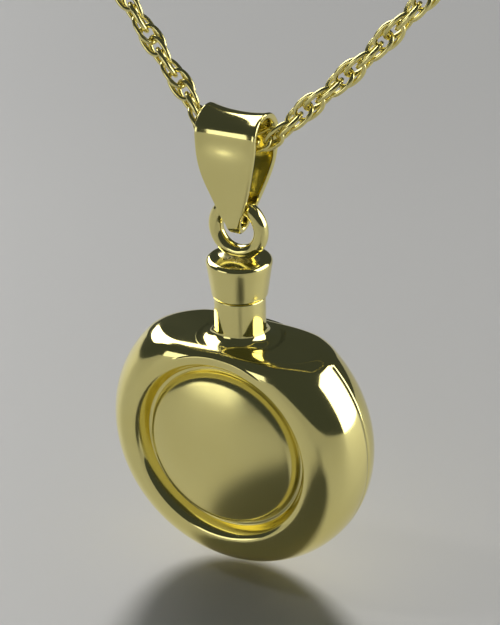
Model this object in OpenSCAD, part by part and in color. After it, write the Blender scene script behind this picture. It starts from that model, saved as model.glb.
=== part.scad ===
// Keepsake urn pendant on its necklace: a round hollow flask with a domed disc on each face,
// a neck closed by a screw cap with a soldered ring, a tapered bail and a chain with a clasp.
// Millimetres, +Z up, the disc faces -Y, the origin is where the clasp rests on the nape.

/* [Flask] */
// Diameter of the flask over its seam
flask_d = 20; // [18:0.1:26]
// Thickness of the flask over both rim crests
flask_t = 7.2; // [6.6:0.1:7.6]
// Distance from the seam in to the crest of the rim
rim_w = 2.9; // [2.5:0.05:3.1]
// Radius of the rim's broad outer curve
crown_r = 4.1; // [3.9:0.05:5]
// Radius of the rim's tight inner edge
lip_r = 0.55; // [0.3:0.05:0.7]
// Steepness of the wall inside the rim, in degrees
lip_angle = 63; // [50:1:80]
// Depth of the flat ledge under the crest
ledge_drop = 1.05; // [0.8:0.05:1.2]
// Thickness of the sheet that the flask is made of
wall = 0.5; // [0.3:0.05:0.7]
// Width of the fine seam around the flask
seam_w = 0.14; // [0.08:0.01:0.3]

/* [Domed disc] */
// Width of the ledge between the rim and the domed disc
ledge_w = 0.37; // [0.2:0.01:1.2]
// Radius of the dome over the middle of the disc
dome_r = 16; // [12:0.5:40]
// Radius of the disc's rolled edge
disc_edge_r = 0.9; // [0.4:0.05:1.2]
// Width of the fine groove around the disc
groove_w = 0.12; // [0.06:0.01:0.2]
// Depth of the fine groove around the disc
groove_depth = 0.12; // [0.05:0.01:0.2]

/* [Shoulders and neck] */
// How far the shoulders' ridge lies below the top of the flask's circle
ridge_drop = 2.2; // [1.8:0.05:2.4]
// Fall of each shoulder away from the neck, in degrees
shoulder_fall = 3; // [1:0.5:8]
// Depth of the flat between the shoulders' rounded front and back edges
shoulder_flat = 4; // [3.8:0.1:4.6]
// Radius of the shoulders' rounded front and back edges
shoulder_round = 2.1; // [2.1:0.1:2.6]
// Outer diameter of the neck
neck_d = 3.6; // [3.4:0.05:4.2]
// How far the neck rises above the flask's circle
neck_rise = 0.8; // [0.6:0.05:3]
// Radius of the flared foot of the neck
foot_r = 1; // [0.6:0.05:1.1]
// Diameter of the bore through the neck
bore_d = 2.4; // [1.8:0.05:2.7]

/* [Screw cap] */
// Diameter of the cap at its top edge
cap_top_d = 4.6; // [4.2:0.05:5.5]
// Diameter of the cap at its foot
cap_foot_d = 3.95; // [3.8:0.05:5]
// Height of the cap
cap_h = 2.85; // [1.8:0.05:4]
// Radius of the cap's rounded top edge
cap_edge_r = 0.35; // [0.1:0.05:0.6]
// Gap between the cap and the end of the neck
cap_gap = 0.04; // [0.02:0.01:0.1]
// Length of the plug under the cap
plug_len = 3; // [1.5:0.1:4]
// Clearance around the plug in the neck's bore
plug_clear = 0.05; // [0.02:0.01:0.09]

/* [Ring] */
// Outer diameter of the ring on the cap
ring_d = 4.55; // [4.2:0.05:6]
// Diameter of the ring's wire
ring_wire = 1.04; // [0.8:0.02:1.2]
// How far the ring is let into its solder
ring_sink = 0.15; // [0.05:0.05:0.4]
// Width of the solder mound under the ring
mound_w = 3; // [2:0.1:3.4]
// Height of the solder mound under the ring
mound_h = 0.32; // [0.1:0.02:0.5]

/* [Bail] */
// Width of the bail over the chain
bail_top_w = 4.6; // [3:0.05:6]
// Width of the bail at its tip in the ring
bail_tip_w = 1.1; // [0.8:0.05:1.6]
// Thickness of the bail's sheet
bail_sheet = 0.4; // [0.3:0.02:0.5]
// Distance from the bend over the chain to the eye around the ring
bail_span = 5.24; // [4:0.02:8]
// Distance from the eye around the ring down to the bail's tip bend
tip_drop = 1.1; // [1:0.05:1.4]
// Inner radius of the tip bend
tip_r = 0.45; // [0.2:0.05:0.5]
// Gap between the ring's wire and the bail's eye
eye_gap = 0.32; // [0.3:0.01:0.36]
// How far the middle of the eye lies below the top of the ring's arc
eye_drop = 0.15; // [0.1:0.01:0.2]
// Room between the chain and the inside of the bail
bail_room = 0.46; // [0.4:0.02:1]

/* [Chain and clasp] */
// Width of the worn loop
loop_w = 120; // [110:1:135]
// Depth of the worn loop from the nape to the pendant
loop_deep = 118; // [105:1:130]
// Drop of the worn loop from the nape to the pendant
loop_drop = 100; // [90:1:120]
// Width of the rope chain
chain_w = 1.62; // [1:0.02:1.66]
// Diameter of the barrel clasp
clasp_d = 2.6; // [2:0.1:4]
// Length of the barrel clasp
clasp_l = 9; // [6:0.5:14]
// Gap between the clasp and each end of the chain
clasp_gap = 0.06; // [0.04:0.01:0.1]

/* [Hidden] */

$fn = 96;
cut = 0.01;
gold = [0.83, 0.76, 0.46];
far = 30;

// Rim section: the crown arc meets the shoulder arc at crown_angle, and both are tangent there.
flask_r = flask_d / 2;
half_t = flask_t / 2;
crest_r = flask_r - rim_w;
crown_x = flask_r - crown_r;
crown_angle = 90 - 2 * atan((crown_r - half_t) / (crest_r - crown_x));
shoulder_r = crown_r - (crest_r - crown_x) / cos(crown_angle);
shoulder_y = half_t - shoulder_r;
ledge_y = half_t - ledge_drop;
lip_x = crest_r - lip_r * sin(lip_angle);
lip_y = half_t - lip_r * (1 - cos(lip_angle));
ledge_r = lip_x - (lip_y - ledge_y) / tan(lip_angle);
seam_depth = seam_w * 0.8;
seam_angle = asin(seam_w / 2 / crown_r);

// Disc section: a shallow dome whose edge rolls over down to the ledge.
disc_r = ledge_r - ledge_w;
dome_half = asin((disc_r - disc_edge_r) / (dome_r - disc_edge_r));
dome_y = ledge_y - (dome_r - disc_edge_r) * cos(dome_half);

// Shoulders, neck and cap, measured up from the flask's centre.
ridge_z = flask_r - ridge_drop;
round_lift = 0.05;
round_y = shoulder_flat / 2;
round_z = ridge_z + round_lift - shoulder_round;
round_over = 0.2;
round_end = acos((half_t + round_over - round_y) / shoulder_round);
function edge_z(y) = round_z + sqrt(pow(shoulder_round, 2) - pow(max(0, y - round_y), 2));
neck_top = flask_r + neck_rise;
foot_reach = neck_d / 2 + foot_r;
foot_sink = 0.04;
foot_z = min(ridge_z - foot_reach * tan(shoulder_fall), edge_z(foot_reach)) - foot_sink;
neck_root = foot_z - 2 * wall;
cap_z = neck_top + cap_gap;
cap_top = cap_z + cap_h;
plug_d = bore_d - 2 * plug_clear;
ring_mid_r = (ring_d - ring_wire) / 2;
ring_z = cap_top + ring_d / 2 - ring_sink;
eye_z = ring_z + ring_mid_r - eye_drop;

// Bail section: three round places joined by straight legs.
eye_r = ring_wire / 2 + eye_gap;
bend_r = chain_w / 2 + bail_room;
bail_z = [eye_z - tip_drop, eye_z, eye_z + bail_span];
bail_r = [tip_r, eye_r, bend_r];
taper_steps = 16;

// The course of the chain's right half from its lowest point: shares of the loop's half width,
// depth and drop, in percent. It ends straight at the clasp, and the left half mirrors it.
clasp_y = clasp_d / 2;
chain_end = clasp_l / 2 + clasp_gap;
clasp_lead = 11.5;
course = [
    [0, 100, 100],
    [3.8, 99.9, 99.65],
    [7.3, 99.2, 97.8],
    [20, 97.5, 89.6],
    [50, 93.5, 66],
    [78, 83, 43],
    [97, 64, 22],
    [100, 42, 8],
    [85, 20, 2],
    [57, 5, 0]
];
route = concat(
    [for (p = course) [p.x * loop_w / 200, -p.y * loop_deep / 100, -p.z * loop_drop / 100]],
    [[chain_end + clasp_lead, clasp_y, 0], [chain_end, clasp_y, 0]]
);
chain_sides = 8;
spans = [2, 2, 3, 4, 5, 5, 4, 4, 3, 3, 2];

// The drop hangs with the middle of the bail's upper bend this far above the chain's lowest point.
hang_rise = 0.4;
flask_y = route[0].y;
flask_z = route[0].z + hang_rise - bail_z[2];

// Points on the smooth curve through the route's points.
function lead(points, i) = i < 0 ? 2 * points[0] - points[1]
    : i >= len(points) ? 2 * points[len(points) - 1] - points[len(points) - 2]
    : points[i];
function blend(a, b, c, d, t) = 0.5 * (2 * b + (c - a) * t
    + (2 * a - 5 * b + 4 * c - d) * t * t
    + (3 * b - a - 3 * c + d) * t * t * t);
function flip(points) = [for (i = [len(points) - 1:-1:1]) [-points[i].x, points[i].y, points[i].z]];
whole = concat(flip(route), route);
steps = concat([for (i = [len(spans) - 1:-1:0]) spans[i]], spans);
line = concat([for (i = [0:len(whole) - 2]) for (k = [0:steps[i] - 1])
    blend(lead(whole, i - 1), whole[i], whole[i + 1], lead(whole, i + 2), k / steps[i])],
    [whole[len(whole) - 1]]);

// Sweep of a round tube along a list of points.
function unit(v) = v / norm(v);
function aim(points, i) = unit(points[min(i + 1, len(points) - 1)] - points[max(i - 1, 0)]);
function side_of(way) = unit(cross(way, [0, 1, 0.0001]));
function ring_at(points, i, r, sides) = let (way = aim(points, i), u = side_of(way), v = cross(way, u))
    [for (k = [0:sides - 1]) points[i] + r * (cos(360 * k / sides) * u + sin(360 * k / sides) * v)];

module sweep(points, r, sides) {
    last = len(points) - 1;
    skin = [for (i = [0:last]) each ring_at(points, i, r, sides)];
    walls = [for (i = [0:last - 1]) for (k = [0:sides - 1])
        [i * sides + k, (i + 1) * sides + k, (i + 1) * sides + (k + 1) % sides, i * sides + (k + 1) % sides]];
    first_cap = [for (k = [0:sides - 1]) k];
    last_cap = [for (k = [sides - 1:-1:0]) last * sides + k];
    polyhedron(points = skin, faces = concat(walls, [first_cap, last_cap]));
}

// Points along an arc, without its first one.
function arc(centre, r, from, to, count) = [for (i = [1:count])
    centre + r * [cos(from + (to - from) * i / count), sin(from + (to - from) * i / count)]];

// One quarter of the flask's section from the seam to the middle of the disc: the rim with its
// rolled lip, the ledge, the fine groove, and the domed disc with its rolled edge.
outer_edge = concat(
    [[flask_r - seam_depth, 0]],
    [[crown_x + crown_r * cos(seam_angle), seam_w / 2]],
    arc([crown_x, 0], crown_r, seam_angle, crown_angle, 4),
    arc([crest_r, shoulder_y], shoulder_r, crown_angle, 90, 7),
    arc([crest_r, half_t - lip_r], lip_r, 90, 90 + lip_angle, 4),
    [[ledge_r, ledge_y], [disc_r + groove_w, ledge_y], [disc_r + groove_w / 2, ledge_y - groove_depth]],
    [[disc_r, ledge_y]],
    arc([disc_r - disc_edge_r, ledge_y], disc_edge_r, 0, 90 - dome_half, 5),
    arc([0, dome_y], dome_r, 90 - dome_half, 90, 5)
);

// The chamber's surface lies one wall inside the flask's.
inner_edge = concat(
    [[flask_r - wall, 0]],
    arc([crown_x, 0], crown_r - wall, 0, crown_angle, 3),
    arc([crest_r, shoulder_y], shoulder_r - wall, crown_angle, 90, 5),
    [[ledge_r + wall / 2, ledge_y - wall], [disc_r - wall, ledge_y - wall]],
    arc([0, dome_y], dome_r - wall, 90 - dome_half, 90, 4)
);

module revolve(edge) {
    back = [for (i = [len(edge) - 1:-1:1]) [edge[i].x, -edge[i].y]];
    rotate([90, 0, 0]) rotate_extrude() polygon(concat(back, edge));
}

// The room above the two shoulders and outside their rounded edges, lowered by inset for the
// underside of their sheet.
module above_shoulders(inset) {
    edge = concat(
        [[round_y, far], [round_y, round_z + shoulder_round - inset]],
        arc([round_y, round_z], shoulder_round - inset, 90, round_end, 6)
    );
    room = concat(edge, [[far, edge[len(edge) - 1].y], [far, far]]);
    for (way = [-1, 1])
        rotate([90, 0, 90]) linear_extrude(height = far, center = true)
            polygon([for (p = room) [way * p.x, p.y]]);
    rotate([90, 0, 0]) linear_extrude(height = far, center = true) polygon([
        [0, ridge_z - inset],
        [far, ridge_z - inset - far * tan(shoulder_fall)],
        [far, far],
        [-far, far],
        [-far, ridge_z - inset - far * tan(shoulder_fall)]
    ]);
}

module neck_tube() {
    translate([0, 0, neck_root]) cylinder(d = neck_d, h = neck_top - neck_root);
    rotate_extrude() difference() {
        polygon([
            [0, neck_root],
            [foot_reach, neck_root],
            [foot_reach, foot_z],
            [neck_d / 2, foot_z + foot_r],
            [0, foot_z + foot_r]
        ]);
        translate([foot_reach, foot_z + foot_r]) circle(r = foot_r);
    }
}

module at_drop() {
    translate([0, flask_y, flask_z]) children();
}

module flask() {
    color(gold) at_drop() difference() {
        union() {
            difference() {
                revolve(outer_edge);
                above_shoulders(0);
            }
            neck_tube();
        }
        difference() {
            revolve(inner_edge);
            above_shoulders(wall);
        }
        cylinder(d = bore_d, h = neck_top + cut);
    }
}

// The cap's side leans in to its foot, and its top edge is rounded.
module cap_shell() {
    rotate_extrude() {
        polygon([
            [0, cap_z],
            [cap_foot_d / 2, cap_z],
            [cap_top_d / 2, cap_top - cap_edge_r],
            [cap_top_d / 2 - cap_edge_r, cap_top - cap_edge_r],
            [cap_top_d / 2 - cap_edge_r, cap_top],
            [0, cap_top]
        ]);
        translate([cap_top_d / 2 - cap_edge_r, cap_top - cap_edge_r]) circle(r = cap_edge_r);
    }
}

module cap_ring() {
    translate([0, 0, ring_z]) rotate([90, 0, 0]) rotate_extrude()
        translate([ring_mid_r, 0]) circle(d = ring_wire, $fn = 48);
}

// A low mound of solder: a slice off a ball.
module solder_mound() {
    mound_r = (mound_w * mound_w / 4 + mound_h * mound_h) / (2 * mound_h);
    intersection() {
        translate([0, 0, cap_top + mound_h - mound_r]) sphere(r = mound_r);
        translate([0, 0, cap_top - cut]) cylinder(d = mound_w, h = mound_h + 2 * cut);
    }
}

module screw_cap() {
    color(gold) at_drop() {
        cap_shell();
        cap_ring();
        solder_mound();
        translate([0, 0, cap_z - plug_len]) cylinder(d = plug_d, h = plug_len + cut);
    }
}

// Two circles one above the other and the straight sides that touch both.
module tapered_slot(low, high, low_r, high_r) {
    lean = asin((high_r - low_r) / (high - low));
    translate([0, low]) circle(r = low_r);
    translate([0, high]) circle(r = high_r);
    polygon([
        [low_r * cos(lean), low - low_r * sin(lean)],
        [high_r * cos(lean), high - high_r * sin(lean)],
        [-high_r * cos(lean), high - high_r * sin(lean)],
        [-low_r * cos(lean), low - low_r * sin(lean)]
    ]);
}

module bail_section(grow) {
    for (i = [0, 1]) tapered_slot(bail_z[i], bail_z[i + 1], bail_r[i] + grow, bail_r[i + 1] + grow);
}

// Half the bail's width at a height, narrowing in a smooth curve from the bend to the tip.
function bail_half(z) = let (low = bail_z[0], high = bail_z[2] + bail_sheet,
    share = min(1, max(0, (z - low) / (high - low))))
    (bail_tip_w + (bail_top_w - bail_tip_w) * sin(90 * share)) / 2;

module bail_front() {
    heights = [for (i = [0:taper_steps]) bail_z[0] + (bail_z[2] + bail_sheet - bail_z[0]) * i / taper_steps];
    low = bail_z[0] - far / 10;
    high = bail_z[2] + far / 10;
    right = concat([[bail_half(low), low]], [for (z = heights) [bail_half(z), z]], [[bail_half(high), high]]);
    polygon(concat(right, [for (i = [len(right) - 1:-1:0]) [-right[i].x, right[i].y]]));
}

module bail() {
    color(gold) at_drop() intersection() {
        rotate([90, 0, 90]) linear_extrude(height = far, center = true) difference() {
            bail_section(bail_sheet);
            bail_section(0);
        }
        rotate([90, 0, 0]) linear_extrude(height = far, center = true) bail_front();
    }
}

module chain() {
    color(gold) sweep(line, chain_w / 2, chain_sides);
}

module clasp() {
    color(gold) translate([0, clasp_y, 0]) rotate([0, 90, 0]) cylinder(d = clasp_d, h = clasp_l, center = true);
}

flask();
screw_cap();
bail();
chain();
clasp();
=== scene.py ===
import bpy
import math
import numpy as np
from mathutils import Matrix, Vector


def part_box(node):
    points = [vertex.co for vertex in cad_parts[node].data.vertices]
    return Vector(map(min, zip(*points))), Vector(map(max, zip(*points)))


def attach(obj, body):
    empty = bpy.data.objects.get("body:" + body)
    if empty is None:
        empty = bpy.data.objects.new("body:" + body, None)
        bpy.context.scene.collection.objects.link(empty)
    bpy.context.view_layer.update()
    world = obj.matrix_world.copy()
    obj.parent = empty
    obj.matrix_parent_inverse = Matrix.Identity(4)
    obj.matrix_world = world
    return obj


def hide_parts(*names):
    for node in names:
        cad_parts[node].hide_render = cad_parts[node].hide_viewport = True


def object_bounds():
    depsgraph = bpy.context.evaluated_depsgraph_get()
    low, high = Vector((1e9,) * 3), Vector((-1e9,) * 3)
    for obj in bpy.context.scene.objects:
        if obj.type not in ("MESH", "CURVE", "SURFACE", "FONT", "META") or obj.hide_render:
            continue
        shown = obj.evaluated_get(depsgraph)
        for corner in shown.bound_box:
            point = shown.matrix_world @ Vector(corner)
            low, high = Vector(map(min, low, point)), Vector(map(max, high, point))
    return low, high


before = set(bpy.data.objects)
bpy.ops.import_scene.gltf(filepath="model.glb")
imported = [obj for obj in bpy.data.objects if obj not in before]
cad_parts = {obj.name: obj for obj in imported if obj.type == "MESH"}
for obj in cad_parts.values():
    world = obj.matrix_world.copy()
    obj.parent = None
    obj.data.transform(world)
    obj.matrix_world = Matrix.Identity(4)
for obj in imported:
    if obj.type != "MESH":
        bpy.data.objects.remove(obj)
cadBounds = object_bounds()
mm = 0.001

# the flask's centre, from its own box: the round body reaches one radius up from its lowest point
flaskRadius = 10.0
flaskLow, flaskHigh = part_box("flask")
centre = np.array([
    (flaskLow.x + flaskHigh.x) / 2, (flaskLow.y + flaskHigh.y) / 2, flaskLow.z + flaskRadius * mm])


# camera: it looks down at the flask from the front right, a hand's width away

cameraForm = {
    "azimuth": 30.109, "elevation": 29.717, "distance": 140.0,  # degrees from the front and up, then mm
    "pan": -0.319, "tilt": -3.45, "roll": -1.002,  # the small turns that frame the picture
    "focal": 1958.4, "imageHigh": 625, "sensor": 36,  # the sensor lies along the image's long side
    "clipNear": 0.005, "clipFar": 5.0,
}


def compassWay(azimuth, elevation):
    # the way out from the flask, at a compass angle from the front towards the right and a height angle
    a, e = math.radians(azimuth), math.radians(elevation)
    return Vector((math.sin(a) * math.cos(e), -math.cos(a) * math.cos(e), math.sin(e)))


def setCamera():
    c = cameraForm
    place = Vector(centre) + compassWay(c["azimuth"], c["elevation"]) * c["distance"] * mm
    aim = c["azimuth"] + c["pan"]
    back = compassWay(aim, c["elevation"] + c["tilt"])
    right = compassWay(aim + 90, 0)
    up = back.cross(right)
    roll = math.radians(c["roll"])
    tiltedRight = math.cos(roll) * right + math.sin(roll) * up
    tiltedUp = math.cos(roll) * up - math.sin(roll) * right
    data = bpy.data.cameras.new("photoCamera")
    data.lens = c["focal"] * c["sensor"] / c["imageHigh"]
    data.clip_start, data.clip_end = c["clipNear"], c["clipFar"]
    camera = bpy.data.objects.new("photoCamera", data)
    bpy.context.collection.objects.link(camera)
    turn = Matrix((tiltedRight, tiltedUp, back)).transposed().to_4x4()
    camera.matrix_world = Matrix.Translation(place) @ turn
    bpy.context.scene.camera = camera


setCamera()
print("camera set")


# finishes

def node(tree, kind, **values):
    made = tree.nodes.new(kind)
    for key, value in values.items():
        if key in made.inputs:
            made.inputs[key].default_value = value
        else:
            setattr(made, key, value)
    return made


def mix(tree, share, low, high):
    # a colour mix whose ends may be colours or sockets
    made = node(tree, "ShaderNodeMix", data_type="RGBA")
    for socket, value in ((made.inputs[0], share), (made.inputs[6], low), (made.inputs[7], high)):
        if isinstance(value, bpy.types.NodeSocket):
            tree.links.new(value, socket)
        else:
            socket.default_value = value
    return made.outputs[2]


def ramp(tree, socket, stops):
    made = node(tree, "ShaderNodeValToRGB")
    tree.links.new(socket, made.inputs["Fac"])
    band = made.color_ramp
    while len(band.elements) < len(stops):
        band.elements.new(0.5)
    for element, (place, value) in zip(band.elements, stops):
        element.position = place
        element.color = (value, value, value, 1) if isinstance(value, (int, float)) else (*value, 1)
    return made.outputs["Color"]


goldForm = {
    "light": (0.89, 0.80, 0.33), "deep": (0.81, 0.69, 0.22), "deepShare": 0.22,
    "cloudScale": 260.0, "cloudSpan": (0.3, 0.62),
    "smearScale": 420.0, "smearSpan": (0.35, 0.7),
    "hairTurns": (0.5, 1.9), "hairScale": (9000.0, 700.0, 350.0), "hairDeep": 0.0000015,
    "frostScale": 16000.0, "frostDeep": 0.000004,
    "waveScale": 330.0, "waveDeep": 0.00002,
}


def makeGold(name, rough, roughSpread, scratch, satin=0.0, ripple=0.0,
             light=goldForm["light"], deep=goldForm["deep"]):
    # polished yellow gold: a faint change of colour, fine handling scratches and, where asked, a satin
    # grain or the slow unevenness of thin stamped sheet
    g = goldForm
    material = bpy.data.materials.new(name)
    material.use_nodes = True
    tree = material.node_tree
    shader = tree.nodes["Principled BSDF"]
    shader.inputs["Metallic"].default_value = 1.0
    place = node(tree, "ShaderNodeTexCoord").outputs["Object"]

    def noise(scale, detail, vector=place, **values):
        made = node(tree, "ShaderNodeTexNoise", Scale=scale, Detail=detail, **values)
        tree.links.new(vector, made.inputs["Vector"])
        return made.outputs["Fac"]

    cloud = noise(g["cloudScale"], 4.0, Roughness=0.6)
    tint = ramp(tree, cloud, [(g["cloudSpan"][0], deep), (g["cloudSpan"][1], light)])
    tree.links.new(mix(tree, g["deepShare"], (*light, 1), tint), shader.inputs["Base Color"])

    span = node(tree, "ShaderNodeMapRange")
    tree.links.new(noise(g["smearScale"], 5.0, Roughness=0.65), span.inputs["Value"])
    span.inputs["From Min"].default_value, span.inputs["From Max"].default_value = g["smearSpan"]
    span.inputs["To Min"].default_value, span.inputs["To Max"].default_value = rough, rough + roughSpread
    tree.links.new(span.outputs["Result"], shader.inputs["Roughness"])

    # hair scratches: two crossed, stretched noises
    both = node(tree, "ShaderNodeMath", operation="ADD")
    for k, turn in enumerate(g["hairTurns"]):
        lay = node(tree, "ShaderNodeMapping")
        lay.inputs["Rotation"].default_value = (0.3, turn, 0.2)
        lay.inputs["Scale"].default_value = g["hairScale"]
        tree.links.new(place, lay.inputs["Vector"])
        tree.links.new(noise(1.0, 2.0, lay.outputs["Vector"]), both.inputs[k])
    reliefs = [(both.outputs[0], scratch, g["hairDeep"])]
    if satin > 0:
        reliefs.append((noise(g["frostScale"], 3.0), satin, g["frostDeep"]))
    if ripple > 0:
        reliefs.append((noise(g["waveScale"], 1.0), ripple, g["waveDeep"]))
    before = None
    for height, strength, deepness in reliefs:
        bump = node(tree, "ShaderNodeBump", Strength=strength, Distance=deepness)
        tree.links.new(height, bump.inputs["Height"])
        if before:
            tree.links.new(before.outputs["Normal"], bump.inputs["Normal"])
        before = bump
    tree.links.new(before.outputs["Normal"], shader.inputs["Normal"])
    return material


polishedGold = makeGold("polishedGold", rough=0.07, roughSpread=0.05, scratch=0.2, ripple=0.12)
satinGold = makeGold("satinGold", rough=0.2, roughSpread=0.06, scratch=0.3, satin=0.35, ripple=0.15)
capGold = makeGold("capGold", rough=0.08, roughSpread=0.05, scratch=0.3)
solderGold = makeGold("solderGold", rough=0.22, roughSpread=0.1, scratch=0.2, satin=0.2,
                      light=(0.92, 0.83, 0.45), deep=(0.8, 0.66, 0.24))
bailGold = makeGold("bailGold", rough=0.08, roughSpread=0.05, scratch=0.25, ripple=0.1)
chainGold = makeGold("chainGold", rough=0.14, roughSpread=0.08, scratch=0.3)
# the bore's finish: a dark brown, rougher gold, which is painted shade inside the neck's hole
boreShadeGold = makeGold("boreShadeGold", rough=0.4, roughSpread=0.1, scratch=0.2,
                    light=(0.5, 0.38, 0.18), deep=(0.3, 0.2, 0.08))
print("finishes made")


# a mesh from grids of points

def gridNormals(points, wrapRows, wrapColumns):
    # the cross product of the slopes along rows and columns
    def slope(axis, wrap):
        # the tangent of the circle through three neighbours, so uneven spacing doesn't tilt it
        run = np.moveaxis(points, axis, 0)
        ahead = np.roll(run, -1, 0) - run
        if not wrap:
            ahead[-1] = ahead[-2]
        behind = np.roll(ahead, 1, 0)
        if not wrap:
            behind[0] = ahead[0]
        a = np.linalg.norm(ahead, axis=2, keepdims=True) + 1e-9
        b = np.linalg.norm(behind, axis=2, keepdims=True) + 1e-9
        return np.moveaxis(ahead * (b / a) + behind * (a / b), 0, axis)
    normals = np.cross(slope(1, wrapColumns), slope(0, wrapRows))
    return normals / np.maximum(np.linalg.norm(normals, axis=2, keepdims=True), 1e-12)


def gridPiece(name, grids, materials, offset=centre, scale=mm):
    # one mesh from several grids: each is (points, wrapRows, wrapColumns, flip, material index of each row)
    verts, faces, normals, slots = [], [], [], []
    base = 0
    for points, wrapRows, wrapColumns, flip, rowSlot in grids:
        rows, columns = points.shape[:2]
        n = gridNormals(points, wrapRows, wrapColumns) * (-1 if flip else 1)
        verts.append(points.reshape(-1, 3))
        normals.append(n.reshape(-1, 3))
        index = np.arange(rows * columns).reshape(rows, columns) + base
        i0 = index if wrapRows else index[:-1]
        i1 = np.roll(index, -1, 0) if wrapRows else index[1:]
        if wrapColumns:
            quads = np.stack([i0, np.roll(i0, -1, 1), np.roll(i1, -1, 1), i1], -1)
        else:
            quads = np.stack([i0[:, :-1], i0[:, 1:], i1[:, 1:], i1[:, :-1]], -1)
        if flip:
            quads = quads[..., ::-1]
        rowIndex = np.zeros(len(quads), int) if rowSlot is None else np.asarray(rowSlot)[:len(quads)]
        slots.append(np.repeat(rowIndex, quads.shape[1]))
        faces.append(quads.reshape(-1, 4))
        base += rows * columns
    verts = np.concatenate(verts) * scale + offset
    faces, normals, slots = np.concatenate(faces), np.concatenate(normals), np.concatenate(slots)
    mesh = bpy.data.meshes.new(name)
    mesh.from_pydata(verts.tolist(), [], faces.tolist())
    for material in materials:
        mesh.materials.append(material)
    mesh.polygons.foreach_set("material_index", slots.astype(np.int32))
    mesh.polygons.foreach_set("use_smooth", np.ones(len(faces), bool))
    mesh.update()
    mesh.normals_split_custom_set_from_vertices(normals.tolist())
    piece = bpy.data.objects.new(name, mesh)
    bpy.context.collection.objects.link(piece)
    return piece


def revolve(rows, around):
    # a grid of rows (radius, height) turned round the upright line through the flask's centre
    return np.stack([rows[:, 0, None] * np.cos(around), rows[:, 0, None] * np.sin(around),
                     np.repeat(rows[:, 1, None], len(around), 1)], 2)


def fullTurn(count):
    return np.linspace(0, 2 * np.pi, count, endpoint=False)


def arcPoints(middle, radius, start, end, count):
    turn = np.radians(np.linspace(start, end, count))
    return np.stack([middle[0] + radius * np.cos(turn), middle[1] + radius * np.sin(turn)], 1)


def roundCorner(before, corner, after, radius, count=5):
    # a fillet of the given reach between two straight runs
    before, corner, after = np.array(before), np.array(corner), np.array(after)
    a = corner + (before - corner) / np.linalg.norm(before - corner) * radius
    b = corner + (after - corner) / np.linalg.norm(after - corner) * radius
    t = np.linspace(0, 1, count)[:, None]
    return (1 - t) ** 2 * a + 2 * t * (1 - t) * corner + t ** 2 * b


def line(a, b, count):
    # points between two ends, without the ends
    t = np.linspace(0, 1, count + 2)[1:-1, None]
    return np.array(a) * (1 - t) + np.array(b) * t


# flask: two stamped halves with rim, ledge and domed disc, then the flat shoulders and the neck

flaskForm = {
    "rimWidth": 2.9, "halfDepth": 3.6, "crownRadius": 4.1, "lipRadius": 0.55, "lipAngle": 63.0,
    "ledgeDrop": 1.05, "ledgeWidth": 0.37, "ledgeRound": 0.06, "discEdge": 0.9, "domeRadius": 16.0,
    "grooveWidth": 0.12, "grooveDepth": 0.12, "grooveRound": 0.03,
    "seamWidth": 0.14, "seamDepth": 0.11, "seamSlope": 0.62,
    "ridgeDrop": 2.2, "shoulderFall": 3.0, "shoulderFlat": 2.0, "shoulderRound": 2.1,
    "roundLift": 0.05, "roundBlend": 0.3, "edgeRound": 0.45,
    "neckRadius": 1.8, "neckTop": 10.8, "lipRound": 0.1, "boreRadius": 1.2, "boreDeep": 3.2,
    "footRound": 1.0, "footReach": 1.4, "footTop": 1.7,
    "columns": 330, "quickColumns": 180, "columnPull": 0.25, "neckColumns": 144, "footRows": 36,
}
f = flaskForm
crestR = flaskRadius - f["rimWidth"]
crownX = flaskRadius - f["crownRadius"]
crownAngle = 90 - 2 * math.degrees(math.atan((f["crownRadius"] - f["halfDepth"]) / (crestR - crownX)))
shoulderR = f["crownRadius"] - (crestR - crownX) / math.cos(math.radians(crownAngle))
shoulderY = f["halfDepth"] - shoulderR
ledgeY = f["halfDepth"] - f["ledgeDrop"]
lipX = crestR - f["lipRadius"] * math.sin(math.radians(f["lipAngle"]))
lipY = f["halfDepth"] - f["lipRadius"] * (1 - math.cos(math.radians(f["lipAngle"])))
ledgeR = lipX - (lipY - ledgeY) / math.tan(math.radians(f["lipAngle"]))
discR = ledgeR - f["ledgeWidth"]
domeHalf = math.degrees(math.asin((discR - f["discEdge"]) / (f["domeRadius"] - f["discEdge"])))
domeY = ledgeY - (f["domeRadius"] - f["discEdge"]) * math.cos(math.radians(domeHalf))


def faceProfile():
    # radius and depth from the seam over the rim to the middle of the disc, and the disc's first row
    w, d = f["seamWidth"] / 2, f["grooveDepth"]
    seam = np.array([[flaskRadius - f["seamDepth"], 0.0],
                     [flaskRadius - f["seamDepth"] * f["seamSlope"], w * 0.45]])
    start = math.degrees(math.asin(w * 1.25 / f["crownRadius"]))
    crown = arcPoints((crownX, 0), f["crownRadius"], start, crownAngle, 26)
    brow = arcPoints((crestR, shoulderY), shoulderR, crownAngle, 90, 34)[1:]
    lipMiddle = (crestR, f["halfDepth"] - f["lipRadius"])
    lip = arcPoints(lipMiddle, f["lipRadius"], 90, 90 + f["lipAngle"], 12)[1:]
    wallFoot = roundCorner((lipX, lipY), (ledgeR, ledgeY), (discR, ledgeY), f["ledgeRound"])
    grooveOut = (discR + f["grooveWidth"], ledgeY)
    grooveFoot = (discR + f["grooveWidth"] / 2, ledgeY - d)
    groove = np.concatenate([
        roundCorner((ledgeR, ledgeY), grooveOut, grooveFoot, f["grooveRound"], 3),
        roundCorner(grooveOut, grooveFoot, (discR, ledgeY), f["grooveRound"], 3)])
    edge = arcPoints((discR - f["discEdge"], ledgeY), f["discEdge"], 0, 90 - domeHalf, 14)
    dome = arcPoints((0, domeY), f["domeRadius"], 90 - domeHalf, 89.97, 30)[1:]
    rim = [seam, crown, brow, lip, line((lipX, lipY), wallFoot[0], 2), wallFoot,
           line(wallFoot[-1], groove[0], 2), groove]
    return np.concatenate(rim + [edge, dome]), sum(len(part) for part in rim)


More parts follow.
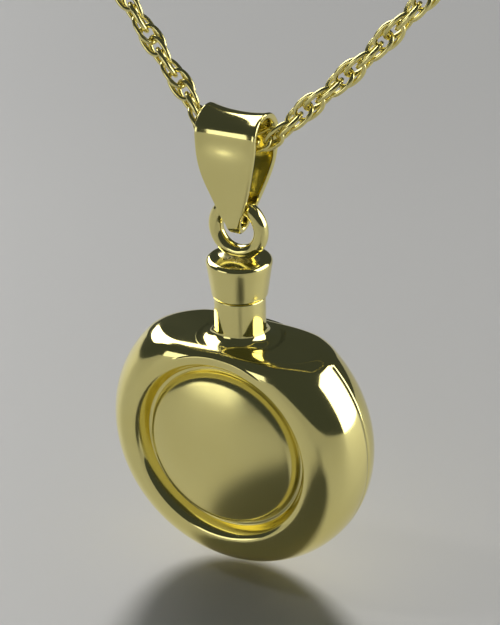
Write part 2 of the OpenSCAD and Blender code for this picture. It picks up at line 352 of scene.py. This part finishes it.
def roundUnion(a, b, r):
    # the distance to two forms grown together with a fillet; roundCut does the same for one cut by another
    return np.maximum(r, np.minimum(a, b)) - np.hypot(np.maximum(r - a, 0), np.maximum(r - b, 0))


def roundCut(a, b, r):
    return np.minimum(-r, np.maximum(a, b)) + np.hypot(np.maximum(r + a, 0), np.maximum(r + b, 0))


def rimDistance(p):
    # distance to the round rim, for points out past its crest
    r = np.hypot(p[:, 0], p[:, 2])
    y = np.abs(p[:, 1])
    crown = np.hypot(r - crownX, y) - f["crownRadius"]
    broad = np.hypot(r - crestR, y - shoulderY) - shoulderR
    steep = y * math.cos(math.radians(crownAngle)) > (r - crownX) * math.sin(math.radians(crownAngle))
    return np.where(steep, broad, crown)


def shoulderDistance(p):
    # the flat across the shoulders, with its rounded front and back edges
    fall = math.radians(f["shoulderFall"])
    top = flaskRadius - f["ridgeDrop"]
    flat = (p[:, 2] - top + np.abs(p[:, 0]) * math.tan(fall)) * math.cos(fall)
    y = np.maximum(0, np.abs(p[:, 1]) - f["shoulderFlat"])
    z = np.maximum(f["roundBlend"], p[:, 2] - (top + f["roundLift"] - f["shoulderRound"]))
    edge = np.hypot(y, z) - f["shoulderRound"]
    return -roundUnion(-flat, -edge, f["roundBlend"])


def bodyDistance(p):
    return roundCut(rimDistance(p), shoulderDistance(p), f["edgeRound"])


def flaskDistance(p):
    neck = np.hypot(p[:, 0], p[:, 1]) - f["neckRadius"]
    return roundUnion(bodyDistance(p), neck, f["footRound"])


def settle(points, distance, steps=12):
    # moves points onto the surface where distance is nought
    p = points.copy()
    h = 1e-4
    for _ in range(steps):
        d = distance(p)
        g = np.stack([(distance(p + h * e) - distance(p - h * e)) / (2 * h) for e in np.eye(3)], 1)
        p -= g * (d / np.maximum((g * g).sum(1), 1e-6))[:, None]
    return p


def flaskGrid():
    front, discStart = faceProfile()
    rows = np.concatenate([front[::-1][:-1] * [1, -1], front])
    rows = rows * [1, -1]  # the front face looks along -Y
    turn = fullTurn(f["columns"])
    turn = turn - f["columnPull"] * np.sin(turn)  # columns stand closer over the shoulders
    grid = np.zeros((len(rows), len(turn), 3))
    grid[..., 0] = rows[:, None, 0] * np.sin(turn)
    grid[..., 1] = rows[:, None, 1]
    grid[..., 2] = rows[:, None, 0] * np.cos(turn)
    flat = grid.reshape(-1, 3)
    r = np.hypot(flat[:, 0], flat[:, 2])
    touched = (r > crestR + 0.3) & (flat[:, 2] > 4)  # the upper part of the rim, where the shoulders are cut
    flat[touched] = settle(flat[touched], bodyDistance)
    # the seam stays cut into the rim but fades out on the shoulders
    seamRow = np.abs(np.repeat(rows[:, 1], len(turn))) < f["seamWidth"] * 0.3
    hollow = seamRow & touched & (shoulderDistance(flat) < -0.5)
    depth = np.where(np.abs(flat[:, 1]) < 1e-6, 1, f["seamSlope"]) * f["seamDepth"]
    out = flat / np.maximum(np.linalg.norm(flat, axis=1, keepdims=True), 1e-9)
    flat[hollow] -= (out * depth[:, None])[hollow]
    finish = np.zeros(len(rows), int)
    finish[:len(front) - discStart - 1] = 1
    finish[len(rows) - (len(front) - discStart):] = 1
    return flat.reshape(grid.shape), finish


def neckGrid():
    # the neck's tube with its bored top, then the flared foot that runs out over the shoulders
    around = fullTurn(f["neckColumns"])
    bore, neck, top, lip = f["boreRadius"], f["neckRadius"], f["neckTop"], f["lipRound"]
    tube = revolve(np.concatenate([
        [[bore, top - f["boreDeep"]], [bore, top - 1.2 * lip]],
        arcPoints((bore + lip, top - lip), lip, 180, 90, 5),
        arcPoints((neck - lip, top - lip), lip, 90, 0, 6),
        [[neck, z] for z in np.linspace(top - 2 * lip, top - f["footTop"], 8)]]), around)
    spread = np.linspace(0, 1, f["footRows"])
    reach = neck + f["footReach"] * spread ** 1.2
    foot = revolve(np.stack([reach, np.full(len(reach), flaskRadius - f["ridgeDrop"])], 1), around)
    flat = foot.reshape(-1, 3)
    for _ in range(30):  # first straight down onto the body
        d = bodyDistance(flat)
        slope = (bodyDistance(flat + [0, 0, 1e-4]) - d) / 1e-4
        flat[:, 2] -= np.clip(d / np.maximum(slope, 0.25), -0.6, 0.6)
    share = np.repeat(spread, len(around))
    flat[:, 2] += (1 - share) ** 3 * (f["footRound"] + 0.1)
    foot = settle(flat, flaskDistance, 20).reshape(foot.shape)
    foot[-1, :, 2] -= 0.03  # its outer edge goes just under the shoulders
    finish = np.zeros(len(tube) + len(foot), int)
    # the bore's wall takes the dark bore finish, painted shade in the hole
    finish[:2] = 2
    return np.concatenate([tube, foot]), finish


def makeFlask():
    body, bodyFinish = flaskGrid()
    neck, neckFinish = neckGrid()
    piece = gridPiece("flaskShell", [
        (body, False, True, False, bodyFinish), (neck, False, True, True, neckFinish)],
        [polishedGold, satinGold, boreShadeGold])
    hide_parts("flask")
    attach(piece, "urn")


makeFlask()
print("flask made")


# screw cap with its plug, solder mound and ring

capForm = {
    "low": 10.84, "high": 13.69, "footRadius": 1.975, "topRadius": 2.3, "topRound": 0.35, "footRound": 0.22,
    "plugRadius": 1.15, "plugLength": 3.0, "plugRound": 0.15,
    "ringMiddle": 1.755, "ringWire": 0.52, "ringHeight": 15.815,
    "moundLong": 1.62, "moundWide": 1.02, "moundHigh": 0.40,
    "columns": 160, "wireSides": 48, "moundRows": 22,
}


def makeCap():
    c = capForm
    around = fullTurn(c["columns"])
    low, high, plug, tipRound = c["low"], c["high"], c["plugRadius"], c["plugRound"]
    side = (c["topRadius"], high - c["topRound"])
    flatRadius = c["topRadius"] - c["topRound"]
    foot = arcPoints((c["footRadius"] - c["footRound"], low + c["footRound"]), c["footRound"], -90, 0, 9)
    shell = revolve(np.concatenate([
        [[0.001, low - c["plugLength"]], [plug - tipRound, low - c["plugLength"]]],
        [[plug, low - c["plugLength"] + tipRound], [plug, low - 0.02], [plug + 0.02, low]],
        foot, line(foot[-1], side, 8),
        arcPoints((flatRadius, side[1]), c["topRound"], 0, 90, 14),
        [[r, high] for r in np.linspace(flatRadius - 0.03, 0.001, 10)]]), around)

    # the solder mound runs out flat under the ring
    share = np.linspace(0.001, 1, c["moundRows"])
    swell = c["moundHigh"] * (0.5 + 0.5 * np.cos(np.pi * share)) ** 0.8
    mound = np.stack([share[:, None] * c["moundLong"] * np.cos(around),
                      share[:, None] * c["moundWide"] * np.sin(around),
                      high - 0.004 + np.repeat(swell[:, None], len(around), 1)], 2)

    wire = fullTurn(c["wireSides"])
    reach = c["ringMiddle"] + c["ringWire"] * np.cos(wire)
    ring = np.stack([reach[None, :] * np.sin(around)[:, None],
                     np.repeat((c["ringWire"] * np.sin(wire))[None, :], len(around), 0),
                     c["ringHeight"] + reach[None, :] * np.cos(around)[:, None]], 2)
    piece = gridPiece("screwCap", [
        (shell, False, True, False, None), (mound, False, True, True, [1] * c["moundRows"]),
        (ring, True, True, False, None)], [capGold, solderGold])
    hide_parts("screw_cap")
    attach(piece, "cap")


makeCap()
print("cap made")


# bail: a strip folded over the chain, tapering down to its tip through the ring

bailForm = {
    "heights": (16.32, 17.42, 22.66), "radii": (0.45, 0.84, 1.27), "sheet": 0.4,  # tip, eye and crown
    "topWidth": 4.6, "tipWidth": 1.1, "tipRound": 0.5, "edgeRound": 0.13,
    "waist": 0.16, "flare": 0.1, "crownLow": 2.4, "crownSpan": 2.6,  # the crown's saddle
    "belly": 0.3, "bellySkew": 1.25,
    "across": 29, "edgePoints": 13,
}


def bailPath():
    # depth, height and outward normal along the middle of the sheet, from the tip round the back to the tip
    b = bailForm
    z = b["heights"]
    r = [v + b["sheet"] / 2 for v in b["radii"]]
    lean = [math.degrees(math.asin((r[i + 1] - r[i]) / (z[i + 1] - z[i]))) for i in (0, 1)]
    bends = [(-90, -lean[0], 16), (-lean[0], -lean[1], 6), (-lean[1], 90, 46)]
    straights = [None, 8, 40]  # points on the leg before each bend
    path = []
    for high, radius, bend, straight in zip(z, r, bends, straights):
        t = np.radians(np.linspace(*bend))
        arc = np.stack([radius * np.cos(t), high + radius * np.sin(t), np.cos(t), np.sin(t)], 1)
        if straight:
            path.append(line(path[-1][-1], arc[0], straight))
        path.append(arc)
    half = np.concatenate(path)
    # the legs belly out gently between the eye and the crown
    share = np.clip((half[:, 1] - z[1]) / (z[2] - z[1]), 0, 1)
    half[:, 0] += b["belly"] * np.sin(np.pi * share ** b["bellySkew"]) ** 1.5
    slope = np.gradient(half[:, :2], axis=0)
    slope /= np.linalg.norm(slope, axis=1, keepdims=True)
    half[:, 2], half[:, 3] = slope[:, 1], -slope[:, 0]
    half[0, 2:], half[-1, 2:] = (0, -1), (0, 1)
    other = half[::-1][1:-1] * [-1, 1, -1, 1]
    return np.concatenate([half, other])


def bailHalfWidth(z):
    b = bailForm
    low, high = b["heights"][0], b["heights"][2] + b["sheet"]
    share = np.clip((z - low) / (high - low), 0, 1)
    width = (b["tipWidth"] + (b["topWidth"] - b["tipWidth"]) * np.sin(np.pi / 2 * share)) / 2
    under = np.clip((low - z) / (b["radii"][0] + b["sheet"]), 0, 1)
    return width * (1 - b["tipRound"] * under ** 2)  # the tip is rounded off


def makeBail():
    b = bailForm
    e, half = b["edgeRound"], b["sheet"] / 2
    # the sheet's section: across the outside, round one edge, back across the inside, round the other
    v = np.linspace(-1, 1, b["across"])
    corner = np.radians(np.linspace(90, -90, b["edgePoints"]))[1:-1]
    outer = np.full(len(v), half)
    rows = []
    for y, z, ny, nz in bailPath():
        w = bailHalfWidth(z)
        lift = np.clip((z - (b["heights"][2] - b["crownLow"])) / b["crownSpan"], 0, 1)
        lift = lift * lift * (3 - 2 * lift)
        x = np.concatenate([v * (w - e), (w - e) + e * np.cos(corner),
                            v[::-1] * (w - e), -(w - e) - e * np.cos(corner)])
        n = np.concatenate([outer, half * np.sin(corner), -outer, -half * np.sin(corner)])
        s = np.clip(np.abs(x) / w, 0, 1)
        n = n + lift * (b["flare"] * s ** 2.5 - b["waist"] * (1 - s ** 2))
        rows.append(np.stack([x, y + n * ny, z + n * nz], 1))
    piece = gridPiece("bailStrip", [(np.array(rows), True, True, True, None)], [bailGold])
    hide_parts("bail")
    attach(piece, "bail")


makeBail()
print("bail made")


# rope chain: each link is turned an eighth of a turn against the one before

chainForm = {
    "loopWidth": 120.0, "loopDeep": 118.0, "loopDrop": 100.0,
    "claspSide": 1.3, "claspHalf": 4.56, "claspLead": 11.5,
    "pitch": 0.92, "turn": 45.0, "start": 10.0,
    "halfLength": 1.085, "halfWidth": 0.645, "squareness": 0.86, "wire": 0.165,
    "frontReach": 48, "frontLink": (30, 12), "loopLink": (22, 8),  # points along a link, sides of its wire
    # right half of the course, from the bail to the nape: share of half the width, of the depth, of the drop
    "course": ((0, 100, 100), (3.8, 99.9, 99.65), (7.3, 99.2, 97.8), (20, 97.5, 89.6), (50, 93.5, 66),
               (78, 83, 43), (97, 64, 22), (100, 42, 8), (85, 20, 2), (57, 5, 0)),
}


def chainCourse():
    # a smooth run through the course's points, from one end of the clasp round to the other
    c = chainForm
    route = [(x * c["loopWidth"] / 200, -y * c["loopDeep"] / 100, -z * c["loopDrop"] / 100)
             for x, y, z in c["course"]]
    route += [(c["claspHalf"] + c["claspLead"], c["claspSide"], 0), (c["claspHalf"], c["claspSide"], 0)]
    route = np.array(route, float)
    whole = np.concatenate([route[:0:-1] * [-1, 1, 1], route])
    whole = np.concatenate([[2 * whole[0] - whole[1]], whole, [2 * whole[-1] - whole[-2]]])
    t = np.linspace(0, 1, 60, endpoint=False)[:, None]
    run = []
    for p, q, r, s in zip(whole, whole[1:], whole[2:], whole[3:]):
        run.append(0.5 * (2 * q + (r - p) * t + (2 * p - 5 * q + 4 * r - s) * t ** 2
                          + (3 * q - p - 3 * r + s) * t ** 3))
    return np.concatenate(run + [whole[-2:-1]])


def chainFrame():
    # lengths along the course, with the place, the tangent and a side that never twists at each
    run = chainCourse()
    along = np.concatenate([[0], np.cumsum(np.linalg.norm(np.diff(run, axis=0), axis=1))])
    fine = np.linspace(0, along[-1], 2401)
    spots = np.stack([np.interp(fine, along, run[:, k]) for k in range(3)], 1)
    tangent = np.gradient(spots, axis=0)
    tangent /= np.linalg.norm(tangent, axis=1, keepdims=True)
    side = np.zeros_like(tangent)
    s = np.cross(tangent[0], [0, 1, 0.0])
    for i in range(len(fine)):
        s = s - tangent[i] * (s @ tangent[i])
        s /= np.linalg.norm(s)
        side[i] = s
    return fine, spots, tangent, side


def linkGrid(place, along, across, segments, sides):
    # a stadium-like oval of round wire
    c = chainForm
    flat = np.cross(along, across)
    turn, ring = fullTurn(segments), fullTurn(sides)
    ca, sa = np.cos(turn), np.sin(turn)
    ex = np.sign(ca) * np.abs(ca) ** c["squareness"] * c["halfLength"]
    ey = np.sign(sa) * np.abs(sa) ** c["squareness"] * c["halfWidth"]
    core = place + ex[:, None] * along + ey[:, None] * across
    ahead = np.roll(core, -1, 0) - np.roll(core, 1, 0)
    ahead /= np.linalg.norm(ahead, axis=1, keepdims=True)
    out = np.cross(ahead, flat)
    around = np.cos(ring)[None, :, None] * out[:, None, :] + np.sin(ring)[None, :, None] * flat
    return core[:, None, :] + c["wire"] * around


def makeChain():
    c = chainForm
    fine, spots, tangent, side = chainFrame()
    total = fine[-1]
    count = int((total - 2 * c["halfLength"]) / c["pitch"])
    places = (total - (count - 1) * c["pitch"]) / 2 + np.arange(count) * c["pitch"]
    front, loop = [], []
    for i, distance in enumerate(places):
        p, u, v = (np.array([np.interp(distance, fine, run[:, k]) for k in range(3)])
                   for run in (spots, tangent, side))
        u /= np.linalg.norm(u)
        v -= u * (u @ v)
        v /= np.linalg.norm(v)
        spin = math.radians(c["start"] + c["turn"] * (i - (count - 1) / 2))
        across = math.cos(spin) * v + math.sin(spin) * np.cross(u, v)
        near = abs(distance - total / 2) < c["frontReach"]
        grid = linkGrid(p, u, across, *c["frontLink" if near else "loopLink"])
        (front if near else loop).append((grid, True, True, True, None))
    for name, grids in (("chainFront", front), ("chainLoop", loop)):
        piece = gridPiece(name, grids, [chainGold], offset=np.zeros(3))
        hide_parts("chain")
        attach(piece, "root")
    print("chain links:", count)


makeChain()


# clasp: a plain barrel at the nape

claspForm = {"radius": 1.3, "half": 4.5, "endRound": 0.45, "lineWidth": 0.18, "lineDepth": 0.08, "columns": 96}


def makeClasp():
    c = claspForm
    half, r, e = c["half"], c["radius"], c["endRound"]
    w, d = c["lineWidth"], c["lineDepth"]
    # from the turned line in the middle out over the rounded end
    right = np.concatenate([
        [[w * 0.5, r - d], [w, r - d * 0.3], [w * 1.5, r]], line((w * 1.5, r), (half - e, r), 6),
        arcPoints((half - e, r - e), e, 90, 0, 12), [[half, 0.3], [half, 0.001]]])
    rows = np.concatenate([right[::-1] * [-1, 1], [[0, r - d * 1.2]], right])
    barrel = revolve(rows[:, ::-1], fullTurn(c["columns"]))[..., [2, 0, 1]]
    piece = gridPiece("barrelClasp", [(barrel, False, True, False, None)], [capGold],
                      offset=np.array([0, r * mm, 0]))
    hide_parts("clasp")
    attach(piece, "root")


makeClasp()
print("clasp made")


# floor and light: the boxes show in the gold only, the sun and the pool light the floor only

studioForm = {
    "floorTone": (0.62, 0.61, 0.59), "floorRough": 0.55, "floorHalf": 3.0, "floorGap": 0.0009,
    # what the gold reflects: compass and height angle, distance, width and height in mm, and glow
    "boxes": {
        "rightBox": (118, 20, 900, 940, 700, 3.4),
        "leftBox": (-112, 33, 900, 760, 560, 4.6),
        "frontCard": (-30, 9, 900, 520, 280, 1.4),
    },
    "world": (0.045, 0.052, 0.054), "backdrop": (0.5, 0.5, 0.49),
    # what lights the floor: compass and height angle, strength, and how wide the lamp looks
    "floorSun": (-150, 33, 3.3, 14),
    "floorPool": (-66, 52, 4.2, 0.09),
    "poolPlace": (-14, -9), "poolRadius": 36, "poolDistance": 420,
}


def makeStage():
    t = studioForm
    low, size = cadBounds[0][2] - t["floorGap"], t["floorHalf"]
    mesh = bpy.data.meshes.new("floor")
    mesh.from_pydata([(-size, -size, low), (size, -size, low), (size, size, low), (-size, size, low)],
                     [], [(0, 1, 2, 3)])
    material = bpy.data.materials.new("paleFloor")
    material.use_nodes = True
    shader = material.node_tree.nodes["Principled BSDF"]
    shader.inputs["Base Color"].default_value = (*t["floorTone"], 1)
    shader.inputs["Roughness"].default_value = t["floorRough"]
    mesh.materials.append(material)
    floor = bpy.data.objects.new("floor", mesh)
    bpy.context.collection.objects.link(floor)


def addLamp(name, kind, energy, way, place):
    data = bpy.data.lights.new(name, kind)
    data.energy = energy
    lamp = bpy.data.objects.new(name, data)
    bpy.context.collection.objects.link(lamp)
    lamp.location = place
    lamp.rotation_mode = "QUATERNION"
    lamp.rotation_quaternion = (-way).to_track_quat("-Z", "Y")
    lamp.visible_camera = False
    return lamp


def makeLight():
    t = studioForm
    world = bpy.data.worlds.new("studio")
    world.use_nodes = True
    tree = world.node_tree
    seen = node(tree, "ShaderNodeLightPath").outputs["Is Camera Ray"]
    colour = mix(tree, seen, (*t["world"], 1), (*t["backdrop"], 1))
    tree.links.new(colour, tree.nodes["Background"].inputs["Color"])
    bpy.context.scene.world = world
    for name, (azimuth, elevation, distance, wide, high, glow) in t["boxes"].items():
        way = compassWay(azimuth, elevation)
        energy = glow * math.pi * wide * high * mm * mm
        lamp = addLamp(name, "AREA", energy, way, Vector(centre) + way * distance * mm)
        lamp.data.shape = "RECTANGLE"
        lamp.data.size, lamp.data.size_y = wide * mm, high * mm
        lamp.visible_diffuse = False
    azimuth, elevation, strength, lampWide = t["floorSun"]
    sun = addLamp("floorSun", "SUN", strength, compassWay(azimuth, elevation), (0, 0, 0))
    sun.data.angle = math.radians(lampWide)
    azimuth, elevation, strength, lampWide = t["floorPool"]
    way = compassWay(azimuth, elevation)
    x, y = t["poolPlace"]
    aim = Vector((centre[0] + x * mm, centre[1] + y * mm, cadBounds[0][2]))
    pool = addLamp("floorPool", "SPOT", strength, way, aim + way * t["poolDistance"] * mm)
    pool.data.spot_size = 2 * math.atan(t["poolRadius"] / t["poolDistance"])
    pool.data.spot_blend = 1.0
    pool.data.shadow_soft_size = lampWide
    sun.visible_glossy = pool.visible_glossy = False
    bpy.context.scene.view_settings.view_transform = "Standard"


makeStage()
makeLight()
print("stage and light set")
